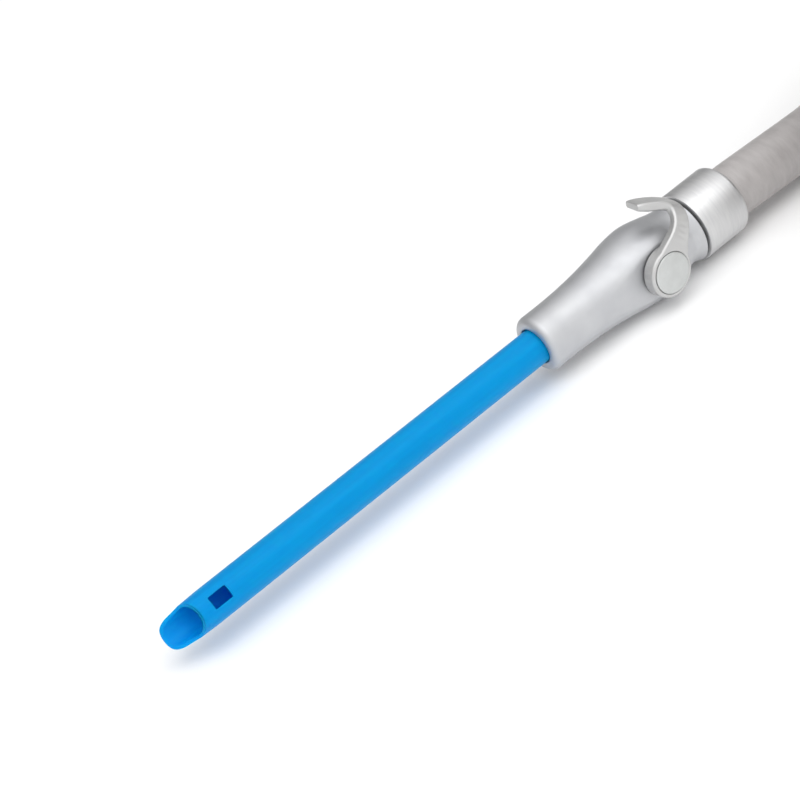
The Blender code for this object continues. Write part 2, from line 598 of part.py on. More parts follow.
suction_tip(flow_axis, BLUE)
for seal_name, seal_place in zip(("tip_seal_front", "tip_seal_rear"), TIP_SEALS_X):
    put(seal_name, seal(seal_place, SOCKET_R), flow_axis, RUBBER)
handpiece_body(flow_axis, SATIN)
valve_spool(valve_axis, STEEL)
for seal_name, seal_side in (("spool_seal_lever_side", -1), ("spool_seal_far_side", 1)):
    put(seal_name, seal(seal_side * SPOOL_SEALS_Y, SPOOL_R - 2 * SEAL_WIRE_R, along="Y"), valve_axis, RUBBER)
washer_y = FAR_SEAT + GAP
put("spool_washer", ring(washer_y, washer_y + WASHER, SPOOL_BORE_R, SPOOL_HEAD_R, 32, "Y"), valve_axis, PTFE)
screw_seat = control_lever(valve_axis, LEVER_GREY)
lever_screw(valve_axis, screw_seat, STEEL)
lever_cap(valve_axis, CAP_GREY)
ring_x, barb_start = hose_tailpiece(flow_axis, STEEL, RUBBER)
swivel_snap_ring(flow_axis, ring_x, STEEL)
swivel_collar(flow_axis, COLLAR_METAL)
hose_end_start = barb_start + GAP
put("hose_end", ring(hose_end_start, HOSE_START - GAP, HOSE_BORE_R, HOSE_R), flow_axis, VINYL)
lead_points, lead_end = hose_route()
tube("suction_hose", lead_points, HOSE_R, VINYL)
hose_hank(lead_end, VINYL)
hank_tie("hank_tie_front", HANK_X + HANK_RUN / 2, AXIS_Y - 2 * HANK_FOLD_R, STRAP)
hank_tie("hank_tie_back", HANK_X + HANK_RUN - TIE_WIDTH - 2 * MM, AXIS_Y, STRAP)
connector(GREY_PLASTIC, RUBBER)
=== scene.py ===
# %% [markdown]
# # A suction tip in its rotary-valve handpiece
# A dental assistant draws saliva and spray away through this: a blue moulded tube, pushed into a satin metal
# handpiece. A lever at its side turns a valve spool across the flow, and a swivel joins it to a grey hose.
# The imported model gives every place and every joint. This lesson builds the surfaces that are seen around
# it, one piece at a time, and gives each a finish that starts from how the real surface is made.

# %% The fixed frame
import math

import bpy
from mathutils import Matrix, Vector


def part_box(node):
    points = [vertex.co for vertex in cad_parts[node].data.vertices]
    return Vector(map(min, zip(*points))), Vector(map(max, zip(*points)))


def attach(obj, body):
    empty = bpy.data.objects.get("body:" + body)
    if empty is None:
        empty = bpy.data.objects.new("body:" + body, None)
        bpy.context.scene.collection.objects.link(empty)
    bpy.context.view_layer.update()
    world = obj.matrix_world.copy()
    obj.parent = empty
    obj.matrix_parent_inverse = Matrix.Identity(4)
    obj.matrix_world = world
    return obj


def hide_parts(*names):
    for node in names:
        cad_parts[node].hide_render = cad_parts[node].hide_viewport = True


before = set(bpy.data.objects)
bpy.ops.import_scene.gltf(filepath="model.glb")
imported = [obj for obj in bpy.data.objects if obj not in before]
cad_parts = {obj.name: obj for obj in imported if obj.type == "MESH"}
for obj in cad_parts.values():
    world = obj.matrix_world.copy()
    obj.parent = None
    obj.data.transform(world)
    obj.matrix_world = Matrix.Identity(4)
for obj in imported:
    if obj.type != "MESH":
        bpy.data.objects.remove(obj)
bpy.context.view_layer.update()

MM = 0.001

# %% [markdown]
# ## Where things are
# Three axes place everything. The flow axis runs along X through the tip, the handpiece and the collar. The
# valve's axis crosses it along Y. The connector's axis is parallel to the first, on top of the folded hose.
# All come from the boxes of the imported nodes, so that a piece can't end up beside its solid.

# %% The three axes
body_low, body_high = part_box("handpiece_body")
collar_low, collar_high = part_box("swivel_collar")
tip_low, tip_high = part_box("suction_tip")
cap_low, cap_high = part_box("lever_cap")
plug_low, plug_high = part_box("canister_connector")

NOSE = Vector((body_low.x, (collar_low.y + collar_high.y) / 2, (collar_low.z + collar_high.z) / 2))
PIVOT = Vector(((cap_low.x + cap_high.x) / 2, NOSE.y, NOSE.z))
PLUG = Vector((plug_high.x, (plug_low.y + plug_high.y) / 2, (plug_low.z + plug_high.z) / 2))
print("nose", [round(v / MM, 2) for v in NOSE], "pivot", [round(v / MM, 2) for v in PIVOT])

# %% [markdown]
# ## Camera
# A long lens, looking down on the lever's side from the tip's end, and turned on its own axis so that the
# handpiece climbs across the picture. Its place is given from the nose, so that it follows the handpiece.

# %% Camera
LENS = 97.07  # mm on a 36 mm sensor
CAMERA_FROM_NOSE = Vector((-253.6, -454.7, 316.1)) * MM
CAMERA_TURN = (56.383, 20.990, -38.050)  # degrees about X, Y and Z

bpy.ops.object.select_all(action="DESELECT")
bpy.ops.object.camera_add(location=NOSE + CAMERA_FROM_NOSE, rotation=[math.radians(a) for a in CAMERA_TURN])
camera = bpy.context.object
camera.data.sensor_width = 36
camera.data.lens = LENS
bpy.context.scene.camera = camera
print("camera at", [round(v, 3) for v in camera.location])

# %% [markdown]
# ## Small tools
# The same few steps come again for each piece, so each gets a short function: select one object, apply its
# modifiers, draw an outline edge by edge and spin it, and hand the finished piece over to its CAD body.

# %% Selecting and applying
def only(piece):
    """Selects this object alone and makes it the active one."""
    bpy.ops.object.select_all(action="DESELECT")
    piece.select_set(True)
    bpy.context.view_layer.objects.active = piece
    return piece


def apply_all(piece):
    """Applies the modifiers from the top down, then the object's own place and turn."""
    only(piece)
    for step in list(piece.modifiers):
        bpy.ops.object.modifier_apply(modifier=step.name)
    bpy.ops.object.transform_apply(location=True, rotation=True, scale=True)
    return piece


def pick(piece, wanted, kind="FACE"):
    """In edit mode, selects the faces or vertices for which wanted(middle, normal) holds."""
    only(piece)
    bpy.ops.object.mode_set(mode="EDIT")
    bpy.ops.mesh.select_mode(type=kind)
    bpy.ops.mesh.select_all(action="DESELECT")
    bpy.ops.object.mode_set(mode="OBJECT")
    for part in piece.data.polygons if kind == "FACE" else piece.data.vertices:
        middle = part.center if kind == "FACE" else part.co
        part.select = wanted(middle, part.normal)
    bpy.ops.object.mode_set(mode="EDIT")


def smooth_shade(piece, degrees=35):
    only(piece)
    bpy.ops.object.shade_smooth_by_angle(angle=math.radians(degrees))
    return piece


def cut(piece, *cutters):
    """Takes the cutters away from the piece, and removes them."""
    for cutter in cutters:
        step = piece.modifiers.new("cut", "BOOLEAN")
        step.object = cutter
        step.solver = "EXACT"
        only(piece)
        bpy.ops.object.modifier_apply(modifier=step.name)
        bpy.data.objects.remove(cutter)


def ease(piece, width, degrees=40, segments=3):
    """Rounds every edge sharper than this, as tumbling, polishing or a mould's own radius does."""
    step = piece.modifiers.new("ease", "BEVEL")
    step.width = width
    step.segments = segments
    step.limit_method = "ANGLE"
    step.angle_limit = math.radians(degrees)
    only(piece)
    bpy.ops.object.modifier_apply(modifier=step.name)


# %% Outlines
def arc(centre, radius, start, end, steps=8):
    """Points along an arc, its angles in degrees."""
    angles = [math.radians(start + (end - start) * i / steps) for i in range(steps + 1)]
    return [(centre[0] + radius * math.cos(a), centre[1] + radius * math.sin(a)) for a in angles]


def flowing(knots, steps=8):
    """A smooth curve through the knots."""
    knots = [Vector(k) for k in knots]
    ends = [2 * knots[0] - knots[1]] + knots + [2 * knots[-1] - knots[-2]]
    points = []
    for before, here, after, beyond in zip(ends, ends[1:], ends[2:], ends[3:]):
        for i in range(steps):
            t = i / steps
            bend = (2 * before - 5 * here + 4 * after - beyond) * t
            bend += (3 * here - before - 3 * after + beyond) * t * t
            points.append(tuple(here + ((after - before) + bend) * t / 2))
    return points + [tuple(knots[-1])]


# %% The lathe
def lathe(name, outline, steps=128, along="X"):
    """Draws (place along the axis, radius) points in mm, edge by edge, and spins them once round the axis.

    An outline that starts and ends on the axis is closed. Any other gets an edge between its two ends."""
    axis = Vector((1, 0, 0)) if along == "X" else Vector((0, 1, 0))
    points = [(axis * a + Vector((0, 0, r))) * MM for a, r in outline]
    bpy.ops.object.select_all(action="DESELECT")
    bpy.ops.mesh.primitive_plane_add(size=MM)
    piece = bpy.context.object
    piece.name = name
    bpy.ops.object.mode_set(mode="EDIT")
    bpy.ops.mesh.select_mode(type="VERT")
    bpy.ops.mesh.select_all(action="SELECT")
    bpy.ops.mesh.merge(type="CENTER")
    bpy.ops.transform.translate(value=points[0])
    for here, after in zip(points, points[1:]):
        bpy.ops.mesh.extrude_region_move(TRANSFORM_OT_translate={"value": after - here})
    if outline[0][1] or outline[-1][1]:
        ends = (points[0], points[-1])
        bpy.ops.object.mode_set(mode="OBJECT")
        pick(piece, lambda co, normal: min((co - e).length for e in ends) < 1e-7, "VERT")
        bpy.ops.mesh.edge_face_add()
    bpy.ops.mesh.select_all(action="SELECT")
    bpy.ops.mesh.spin(steps=steps, angle=math.tau, center=(0, 0, 0), axis=axis)
    bpy.ops.mesh.select_all(action="SELECT")
    bpy.ops.mesh.remove_doubles(threshold=1e-6)
    bpy.ops.mesh.normals_make_consistent(inside=False)
    bpy.ops.object.mode_set(mode="OBJECT")
    return piece


def hand_over(piece, at, body, finish, slot, *nodes):
    """Puts the piece in its place for good, and says which body it rides on and which nodes it stands for."""
    piece.location = at
    apply_all(piece)
    piece.data.materials.clear()
    piece.data.materials.append(finish)
    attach(piece, body)
    if nodes:
        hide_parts(*nodes)
    print(piece.name, "has", len(piece.data.polygons), "faces")
    return piece


# %% [markdown]
# ## Finishes
# Each finish is named for the real material and for the process that made its surface. Colours are written
# as they look on a screen and turned to light values by one function. Patterns are sized in real
# millimetres: a noise of scale 1 has grains of about one metre, so 1 mm grains need a scale of 1000.

# %% Colours and nodes
def light(code):
    """A screen colour such as #0a8fd6, as linear light."""
    parts = [int(code[i:i + 2], 16) / 255 for i in (1, 3, 5)]
    return (*[p / 12.92 if p <= 0.04045 else ((p + 0.055) / 1.055) ** 2.4 for p in parts], 1.0)


def per_mm(size):
    """The scale that gives a pattern this size in mm."""
    return 1 / (size * MM)


def add(tree, kind, inputs=(), **settings):
    """Adds a node, sets its properties, and fills its inputs with values or links."""
    node = tree.nodes.new(kind)
    for name, value in settings.items():
        setattr(node, name, value)
    for name, value in dict(inputs).items():
        if isinstance(value, bpy.types.NodeSocket):
            tree.links.new(value, node.inputs[name])
        else:
            node.inputs[name].default_value = value
    return node


def start(name, **shader_values):
    """A new material: its tree, its shader with these values set, and Object coordinates."""
    made = bpy.data.materials.new(name)
    made.use_nodes = True
    tree = made.node_tree
    shader = tree.nodes["Principled BSDF"]
    for socket, value in shader_values.items():
        shader.inputs[socket.replace("_", " ")].default_value = value
    place = add(tree, "ShaderNodeTexCoord").outputs["Object"]
    return made, tree, shader, place


def waves(size):
    """The scale of a wave pattern with this many mm from crest to crest: its sine runs 20 radians a unit."""
    return math.tau / 20 * per_mm(size)


def stretch(tree, place, x=1.0, y=1.0, z=1.0):
    """The same coordinates, with the pattern drawn out along the axes where the number is small."""
    return add(tree, "ShaderNodeMapping", {"Vector": place, "Scale": (x, y, z)}).outputs["Vector"]


def grain(tree, place, size, detail=2.0, roughness=0.5):
    """Noise with grains of this size in mm, from 0 to 1."""
    values = {"Vector": place, "Scale": per_mm(size), "Detail": detail, "Roughness": roughness}
    return add(tree, "ShaderNodeTexNoise", values).outputs["Fac"]


def blend(tree, shader, socket, factor, low, high, span=(0.3, 0.7)):
    """Drives a socket between two values or colours by a factor."""
    if isinstance(low, str):
        ramp = add(tree, "ShaderNodeValToRGB", {"Fac": factor})
        for stop, place, code in zip(ramp.color_ramp.elements, span, (low, high)):
            stop.position = place
            stop.color = light(code)
        tree.links.new(ramp.outputs["Color"], shader.inputs[socket])
        return
    values = {"Value": factor, "From Min": span[0], "From Max": span[1], "To Min": low, "To Max": high}
    tree.links.new(add(tree, "ShaderNodeMapRange", values).outputs["Result"], shader.inputs[socket])


def relief(tree, shader, height, depth, strength=1.0):
    """Bump of this depth in mm."""
    values = {"Height": height, "Distance": depth * MM, "Strength": strength}
    tree.links.new(add(tree, "ShaderNodeBump", values).outputs["Normal"], shader.inputs["Normal"])


# %% [markdown]
# **Moulded polypropylene.** The tip is blue all through and comes from a polished mould: half gloss, with a
# glow of light that went in and came out, weak bluish highlights, and faint flow lines along its length.

# %% Blue polypropylene, polished mould
def blue_polypropylene():
    made, tree, shader, place = start("polypropylene_moulded_blue", IOR=1.49, Subsurface_Weight=0.6)
    shader.inputs["Subsurface Radius"].default_value = (0.1, 0.5, 1.0)
    shader.inputs["Subsurface Scale"].default_value = 4 * MM
    shader.inputs["Specular IOR Level"].default_value = 0.2
    shader.inputs["Specular Tint"].default_value = light("#9adcff")
    flow = grain(tree, stretch(tree, place, x=0.04), 1.6)
    blend(tree, shader, "Base Color", flow, "#0088ca", "#0090d1")
    blend(tree, shader, "Roughness", grain(tree, place, 3.0), 0.34, 0.42)
    relief(tree, shader, flow, 0.02)
    return made


# %% [markdown]
# **Blasted aluminium.** Fine glass beads leave a skin of tiny dents that scatters light evenly, and clear
# anodising seals it. The dents are about 0.05 mm wide, too fine to show, so they are drawn at 0.3 mm.

# %% Bead-blasted aluminium
def blasted_aluminium():
    made, tree, shader, place = start("aluminium_bead_blasted_anodised", Metallic=1.0)
    dents = grain(tree, place, 0.3, 3.0, 0.6)
    blend(tree, shader, "Base Color", grain(tree, place, 9.0), "#c2c3c6", "#cacbcd")
    blend(tree, shader, "Roughness", grain(tree, place, 4.0), 0.52, 0.58)
    relief(tree, shader, dents, 0.02, 0.6)
    return made


# %% [markdown]
# **Die-cast lever.** It is tumbled with stones instead of blasted, so its skin is a little uneven: duller in
# some places, and with a soft sheen where the stones and the thumb have worn it.

# %% Die-cast zinc, tumbled
def tumbled_casting():
    made, tree, shader, place = start("zinc_diecast_tumbled", Metallic=0.85)
    wear = grain(tree, place, 5.0, 4.0, 0.6)
    blend(tree, shader, "Base Color", wear, "#c2c2c2", "#cacac9")
    blend(tree, shader, "Roughness", wear, 0.46, 0.56)
    relief(tree, shader, grain(tree, place, 0.35, 3.0), 0.015, 0.6)
    return made


# %% [markdown]
# **Faced cap.** A lathe tool crosses the cap from its rim to its middle, and leaves rings round the valve's
# axis. The rings are 0.05 mm apart, drawn here at 0.25 mm so that they show at all.

# %% Faced aluminium
def faced_aluminium():
    made, tree, shader, place = start("aluminium_faced_satin", Metallic=0.85)
    centred = add(tree, "ShaderNodeVectorMath", {0: place, 1: PIVOT}, operation="SUBTRACT").outputs["Vector"]
    values = {"Vector": centred, "Scale": waves(0.25), "Distortion": 0.2}
    rings = add(tree, "ShaderNodeTexWave", values, wave_type="RINGS", rings_direction="Y").outputs["Fac"]
    blend(tree, shader, "Base Color", grain(tree, place, 3.0), "#c6c8c7", "#cdcfce")
    blend(tree, shader, "Roughness", grain(tree, place, 2.0), 0.48, 0.56)
    relief(tree, shader, rings, 0.004, 0.4)
    return made


# %% [markdown]
# **Turned collar.** The finest cut of the three, so the smoothest skin. The feed of the tool leaves lines
# round the collar, drawn 0.2 mm apart so that they show, and its tone changes a little from band to band.

# %% Finely turned, anodised aluminium
def turned_aluminium():
    made, tree, shader, place = start("aluminium_turned_anodised", Metallic=1.0)
    values = {"Vector": place, "Scale": waves(0.2), "Distortion": 0.6, "Detail": 1.0}
    feed = add(tree, "ShaderNodeTexWave", values, wave_type="BANDS", bands_direction="X").outputs["Fac"]
    blend(tree, shader, "Base Color", grain(tree, stretch(tree, place, x=8.0), 6.0), "#cbcbcc", "#d3d3d3")
    blend(tree, shader, "Roughness", grain(tree, stretch(tree, place, x=12.0), 8.0), 0.42, 0.48)
    relief(tree, shader, feed, 0.002, 0.3)
    return made


# %% [markdown]
# **Stainless steel.** The spool, the screw and the swivel's inner parts are turned and left bright.

# %% Turned stainless steel
def turned_steel():
    made, tree, shader, place = start("stainless_steel_turned", Metallic=1.0)
    centred = add(tree, "ShaderNodeVectorMath", {0: place, 1: PIVOT}, operation="SUBTRACT").outputs["Vector"]
    values = {"Vector": centred, "Scale": waves(0.3), "Distortion": 0.3}
    rings = add(tree, "ShaderNodeTexWave", values, wave_type="RINGS", rings_direction="Y").outputs["Fac"]
    blend(tree, shader, "Base Color", grain(tree, place, 4.0), "#b9babd", "#cbccce")
    blend(tree, shader, "Roughness", grain(tree, place, 2.5), 0.24, 0.34)
    relief(tree, shader, rings, 0.004, 0.5)
    return made


# %% [markdown]
# **Extruded vinyl.** The hose is drawn warm from a die and cooled in a bath. It is half matt, mottled, and
# wrinkles a little across its length where it has been bent and straightened many times.

# %% Extruded vinyl hose
def extruded_vinyl():
    made, tree, shader, place = start("vinyl_extruded_grey", IOR=1.53)
    across = stretch(tree, place, x=3.2)
    wrinkles = grain(tree, across, 5.0, 4.0, 0.65)
    blend(tree, shader, "Base Color", grain(tree, across, 7.0, 5.0, 0.6), "#a19d9c", "#afabaa")
    blend(tree, shader, "Roughness", wrinkles, 0.32, 0.46)
    relief(tree, shader, wrinkles, 0.16, 0.7)
    return made


# %% [markdown]
# **Seal rubber, plastic, PTFE and strap.** Smaller finishes for the parts that a swivel, a valve and a
# stored hose need. The strap is woven: two waves across each other, 1.2 mm from thread to thread.

# %% Moulded seal rubber
def seal_rubber():
    made, tree, shader, place = start("rubber_moulded_black", IOR=1.52)
    dust = grain(tree, place, 2.0, 3.0)
    blend(tree, shader, "Base Color", dust, "#1d1d1f", "#2a2a2c")
    blend(tree, shader, "Roughness", dust, 0.55, 0.7)
    relief(tree, shader, grain(tree, place, 0.4), 0.03, 0.6)
    return made


# %% Spark-textured ABS
def textured_abs():
    made, tree, shader, place = start("abs_spark_textured_grey", IOR=1.54)
    sparks = grain(tree, place, 0.45, 3.0, 0.6)
    blend(tree, shader, "Base Color", grain(tree, place, 8.0), "#8b8d90", "#94969a")
    blend(tree, shader, "Roughness", sparks, 0.42, 0.56)
    relief(tree, shader, sparks, 0.03, 0.7)
    return made


# %% Skived PTFE
def skived_ptfe():
    made, tree, shader, place = start("ptfe_skived_white", IOR=1.38)
    blend(tree, shader, "Base Color", grain(tree, place, 1.5), "#e4e4df", "#efefec")
    blend(tree, shader, "Roughness", grain(tree, place, 0.8), 0.4, 0.55)
    return made


# %% Woven strap
def woven_strap():
    made, tree, shader, place = start("nylon_strap_woven_black", Sheen_Weight=0.3)
    threads = []
    for direction in ("X", "Z"):
        values = {"Vector": place, "Scale": waves(1.2), "Distortion": 0.4, "Detail": 1.0}
        wave = add(tree, "ShaderNodeTexWave", values, wave_type="BANDS", bands_direction=direction)
        threads.append(wave.outputs["Fac"])
    weave = add(tree, "ShaderNodeMath", {0: threads[0], 1: threads[1]}, operation="MULTIPLY").outputs["Value"]
    blend(tree, shader, "Base Color", weave, "#17171a", "#33343a")
    blend(tree, shader, "Roughness", weave, 0.95, 0.75)
    relief(tree, shader, weave, 0.25)
    return made


BLUE, SATIN, CAST, FACED = blue_polypropylene(), blasted_aluminium(), tumbled_casting(), faced_aluminium()
TURNED, STEEL, VINYL, RUBBER = turned_aluminium(), turned_steel(), extruded_vinyl(), seal_rubber()
ABS, PTFE, STRAP = textured_abs(), skived_ptfe(), woven_strap()
print(len(bpy.data.materials), "materials")

# %% [markdown]
# ## The hose
# A hose of 1.5 m leaves the collar. Only its start is at the handpiece, so the rest is put away as a hank:
# long runs and round folds, one turn on the other, as it would lie on a shelf. The route is a list of points
# on the hose's middle line. A loop makes the turns, and each near fold climbs by one layer.

# %% The hose's route
HOSE_R = 8.5 * MM
LAYER = 17.3 * MM  # from one turn's middle line to that of the turn on it
LOWEST = 10.55 * MM  # the lower turn's middle line
HANK_X = collar_high.x + 91 * MM
RUN, FOLD_R, TAIL = 150 * MM, 60 * MM, 51 * MM
TURNS = 2
CLIMB = math.radians(136)  # how far round the near fold the climb takes
LEAD_END = HANK_X - 45.5 * MM

hose_exit = Vector((collar_high.x - 2.4 * MM, NOSE.y, NOSE.z))


def lead_points():
    """From the collar down to the height of the lower turn, level at both ends."""
    level = 8 * MM
    half = (hose_exit.x + LEAD_END) / 2
    knots = [(hose_exit.x, NOSE.z), (hose_exit.x + level, NOSE.z), (half, (NOSE.z + LOWEST) / 2)]
    knots += [(LEAD_END - level, LOWEST), (LEAD_END, LOWEST)]
    points = flowing([(x, NOSE.y, z) for x, z in knots], 3)
    return points + [(LEAD_END + (HANK_X - LEAD_END) * i / 3, NOSE.y, LOWEST) for i in (1, 2)]


def turn_points(height):
    """One turn from the start of its first run: out, far fold, back, and a near fold that climbs a layer."""
    y, far = NOSE.y, HANK_X + RUN
    points = [(HANK_X + RUN * i / 4, y, height) for i in range(4)]
    points += [(a, b, height) for a, b in arc((far, y - FOLD_R), FOLD_R, 90, -90, 16)]
    points += [(far - RUN * i / 4, y - 2 * FOLD_R, height) for i in (1, 2, 3)]
    near = arc((HANK_X, y - FOLD_R), FOLD_R, -90, -270, 20)
    for i, (a, b) in enumerate(near[:-1]):
        share = min(1.0, math.pi * i / 20 / CLIMB)
        points.append((a, b, height + LAYER * share * share * (3 - 2 * share)))
    return points


route = lead_points()
for turn in range(TURNS):
    route += turn_points(LOWEST + LAYER * turn)
top = LOWEST + LAYER * TURNS
route += [(HANK_X + TAIL * i / 4, NOSE.y, top) for i in range(4)] + [(HANK_X + TAIL + 6 * MM, NOSE.y, PLUG.z)]
length = sum((Vector(b) - Vector(a)).length for a, b in zip(route, route[1:]))
print("hose", round(length, 3), "m in", len(route), "points")

# %% The hose itself
line = bpy.data.curves.new("suction_hose_line", "CURVE")
line.dimensions = "3D"
line.bevel_depth = HOSE_R
line.bevel_resolution = 12
line.use_fill_caps = True
spline = line.splines.new("POLY")
fine_route = flowing(route, 3)
spline.points.add(len(fine_route) - 1)
for point, place in zip(spline.points, fine_route):
    point.co = (*place, 1)
spline.use_smooth = True
hose = bpy.data.objects.new("suction_hose_run", line)
bpy.context.collection.objects.link(hose)
line.materials.append(VINYL)
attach(hose, "hose_side")
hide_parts("suction_hose", "hose_hank")

# %% [markdown]
# Two woven straps hold the hank together. Each is a flat band bent round two layers of hose, so it starts as
# a cube whose open ends leave a sleeve, and its corners are rounded until it hugs the hose.

# %% Hank ties
TIE_WALL = 1.3 * MM


def hank_tie(name, node):
    low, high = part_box(node)
    middle = (low + high) / 2
    inner = Vector((high.x - low.x, high.y - low.y - 3.2 * MM, high.z - low.z - 3.4 * MM))
    bpy.ops.object.select_all(action="DESELECT")
    bpy.ops.mesh.primitive_cube_add(size=1, location=middle)
    tie = bpy.context.object
    tie.name = name
    tie.scale = inner
    apply_all(tie)
    pick(tie, lambda co, normal: abs(normal.x) > 0.9)
    bpy.ops.mesh.delete(type="FACE")
    bpy.ops.object.mode_set(mode="OBJECT")
    rounding = tie.modifiers.new("corners", "BEVEL")
    rounding.width = inner.y * 0.49
    rounding.segments = 14
    rounding.angle_limit = math.radians(60)
    wall = tie.modifiers.new("wall", "SOLIDIFY")
    wall.thickness = TIE_WALL
    wall.offset = 1
    apply_all(tie)
    ease(tie, 0.35 * MM, 50, 2)
    smooth_shade(tie)
    return hand_over(tie, (0, 0, 0), "hose_side", STRAP, "strap_fabric", node)


ties = [hank_tie("hank_strap_front", "hank_tie_front"), hank_tie("hank_strap_back", "hank_tie_back")]

# %% [markdown]
# The hose ends in the connector that is pushed into the suction unit: a ribbed rubber cuff over the hose,
# and a moulded plug with a groove for its seal ring. All three are round, so they come off the lathe.

# %% Connector
CUFF_LENGTH, CUFF_R, CUFF_BORE = 20, 10.3, 8.75
PLUG_R, PLUG_BORE, GROOVE_R = 8.2, 6.35, 6.8
RIBS, RIB_CUT = (6.7, 10, 13.3), 0.95  # middles of the grip's round grooves, and their radius


def connector():
    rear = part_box("connector_cuff")[0].x
    at = (rear, PLUG.y, PLUG.z)
    outline = [(0, CUFF_BORE), (0, CUFF_R - 0.8), (0.8, CUFF_R - 0.2), (3, CUFF_R)]
    for middle in RIBS:
        outline += arc((middle, CUFF_R + 0.45), RIB_CUT, 208, 332, 8)
    outline += [(CUFF_LENGTH, CUFF_R), (CUFF_LENGTH, CUFF_BORE)]
    cuff = lathe("connector_sleeve", outline, 96)
    ease(cuff, 0.25 * MM, 50, 2)
    hand_over(smooth_shade(cuff), at, "hose_side", RUBBER, "black_rubber", "connector_cuff")
    outline = [(10, PLUG_BORE), (10, PLUG_R), (20.3, PLUG_R), (20.3, CUFF_R), (23.3, CUFF_R), (23.3, PLUG_R)]
    outline += [(37.3, PLUG_R), (37.3, GROOVE_R), (39.3, GROOVE_R), (39.3, PLUG_R)]
    outline += [(44.3, PLUG_R), (48.3, 7.4), (48.3, PLUG_BORE)]
    plug = lathe("connector_plug", outline, 128)
    ease(plug, 0.3 * MM, 30, 3)
    hand_over(smooth_shade(plug), at, "hose_side", ABS, "grey_abs", "canister_connector")
    ring = lathe("connector_seal_ring", arc((38.3, 7.85), 0.7, 0, 345, 23), 96)
    hand_over(smooth_shade(ring, 60), at, "hose_side", RUBBER, "black_rubber", "connector_seal")
    return [cuff, plug, ring]


connector_pieces = connector()

# %% [markdown]
# ## The tip
# The tube is spun with rounded lips. Each end is then pushed back to the rim's own curve: seen from the
# side, the rim is a blunt lip, a long floor and a quick rise. A point's height alone says how far it moves,
# so the tube stays round. Both ends are a little slimmer, so that they go into the seals easily. The small
# vent behind the mouth is cut last, with rounded corners.

# %% Suction tip
TIP_R, TIP_WALL, TIP_TURN = 5.35, 0.9, math.radians(55)
TIP_LENGTH = (tip_high.x - tip_low.x) / MM
RIM = [(0, -5.35), (0.25, -4.7), (0.6, -4.1), (1.6, -3.2), (3.2, -2.4), (5.4, -1.8), (7.2, -0.9), (8.1, 0.7)]
RIM += [(8.8, 2.4), (9.5, 3.9), (10.2, 5.4)]
TAPER, TAPER_LENGTH = 0.2, 15  # the tube is slimmer by this much, at both ends, over this length
TAPER_SLOPE = 1.6  # the taper is full over the first three eighths of its length, and then fades
RING_STEP, RINGS = 0.4, 39  # the rings of points that let each end take the rim's curve
RIM_REACH = 16  # mm over which the move fades out
VENT = (5.9, 3.9, 16.9)  # length, width and middle, in mm from the lip


def rim_place(height, curve):
    """How far behind the lip the rim is at this height above the tube's axis."""
    for (x_low, z_low), (x_high, z_high) in zip(curve, curve[1:]):
        if z_low <= height < z_high:
            return x_low + (x_high - x_low) * (height - z_low) / (z_high - z_low)
    return 0.0 if height < curve[0][1] else curve[-1][0]


def suction_tip():
    inner, lip = TIP_R - TIP_WALL, TIP_WALL / 2
    ends = [lip + RING_STEP * i for i in range(RINGS)]
    outline = arc((lip, TIP_R - lip), lip, 90, 270, 6)
    outline += [(x + lip, inner) for x in ends] + [(TIP_LENGTH - lip - x, inner) for x in reversed(ends)]
    outline += arc((TIP_LENGTH - lip, TIP_R - lip), lip, -90, 90, 6)
    outline += [(TIP_LENGTH - lip - x, TIP_R) for x in ends] + [(x + lip, TIP_R) for x in reversed(ends)]
    tip = lathe("suction_tube", outline, 160)
    curve = [p[:2] for p in flowing([(x, z, 0) for x, z in RIM], 6)]
    for vertex in tip.data.vertices:
        x, z = vertex.co.x / MM, vertex.co.z / MM
        near = max(0.0, 1 - x / RIM_REACH)
        far = max(0.0, 1 - (TIP_LENGTH - x) / RIM_REACH)
        vertex.co.x += rim_place(z, curve) * (near ** 2 - far ** 2) * MM
        end = min(vertex.co.x / MM, TIP_LENGTH - vertex.co.x / MM)
        share = min(1.0, max(0.0, TAPER_SLOPE - TAPER_SLOPE * end / TAPER_LENGTH))
        share = share * share * (3 - 2 * share)
        vertex.co.yz *= 1 - share * TAPER / math.hypot(vertex.co.y / MM, z)
    bpy.ops.object.select_all(action="DESELECT")
    bpy.ops.mesh.primitive_cube_add(size=1, location=(VENT[2] * MM, 0, 5 * MM))
    window = bpy.context.object
    window.scale = (VENT[0] * MM, VENT[1] * MM, 6 * MM)
    apply_all(window)
    corners = window.modifiers.new("corners", "BEVEL")
    corners.width = 0.4 * MM
    corners.segments = 4
    apply_all(window)
    cut(tip, window)
    tip.rotation_euler = (TIP_TURN, 0, 0)
    at = (tip_low.x, NOSE.y, NOSE.z)
    hand_over(smooth_shade(tip, 45), at, "tip", BLUE, "blue_polypropylene", "suction_tip")


suction_tip()

# %% [markdown]
# ## The handpiece's body
# It is turned from bar: a rounded nose, a long swell up to the valve and a quick fall to the neck. A flat is
# then milled for the lever's hub. Blasting wears the flat's edges until they can hardly be seen, so the flat
# is not cut with a sharp plane here: points that lie beyond it are drawn back to it, softly at its border.
# The valve's bore and the far seat are cut across it after that.

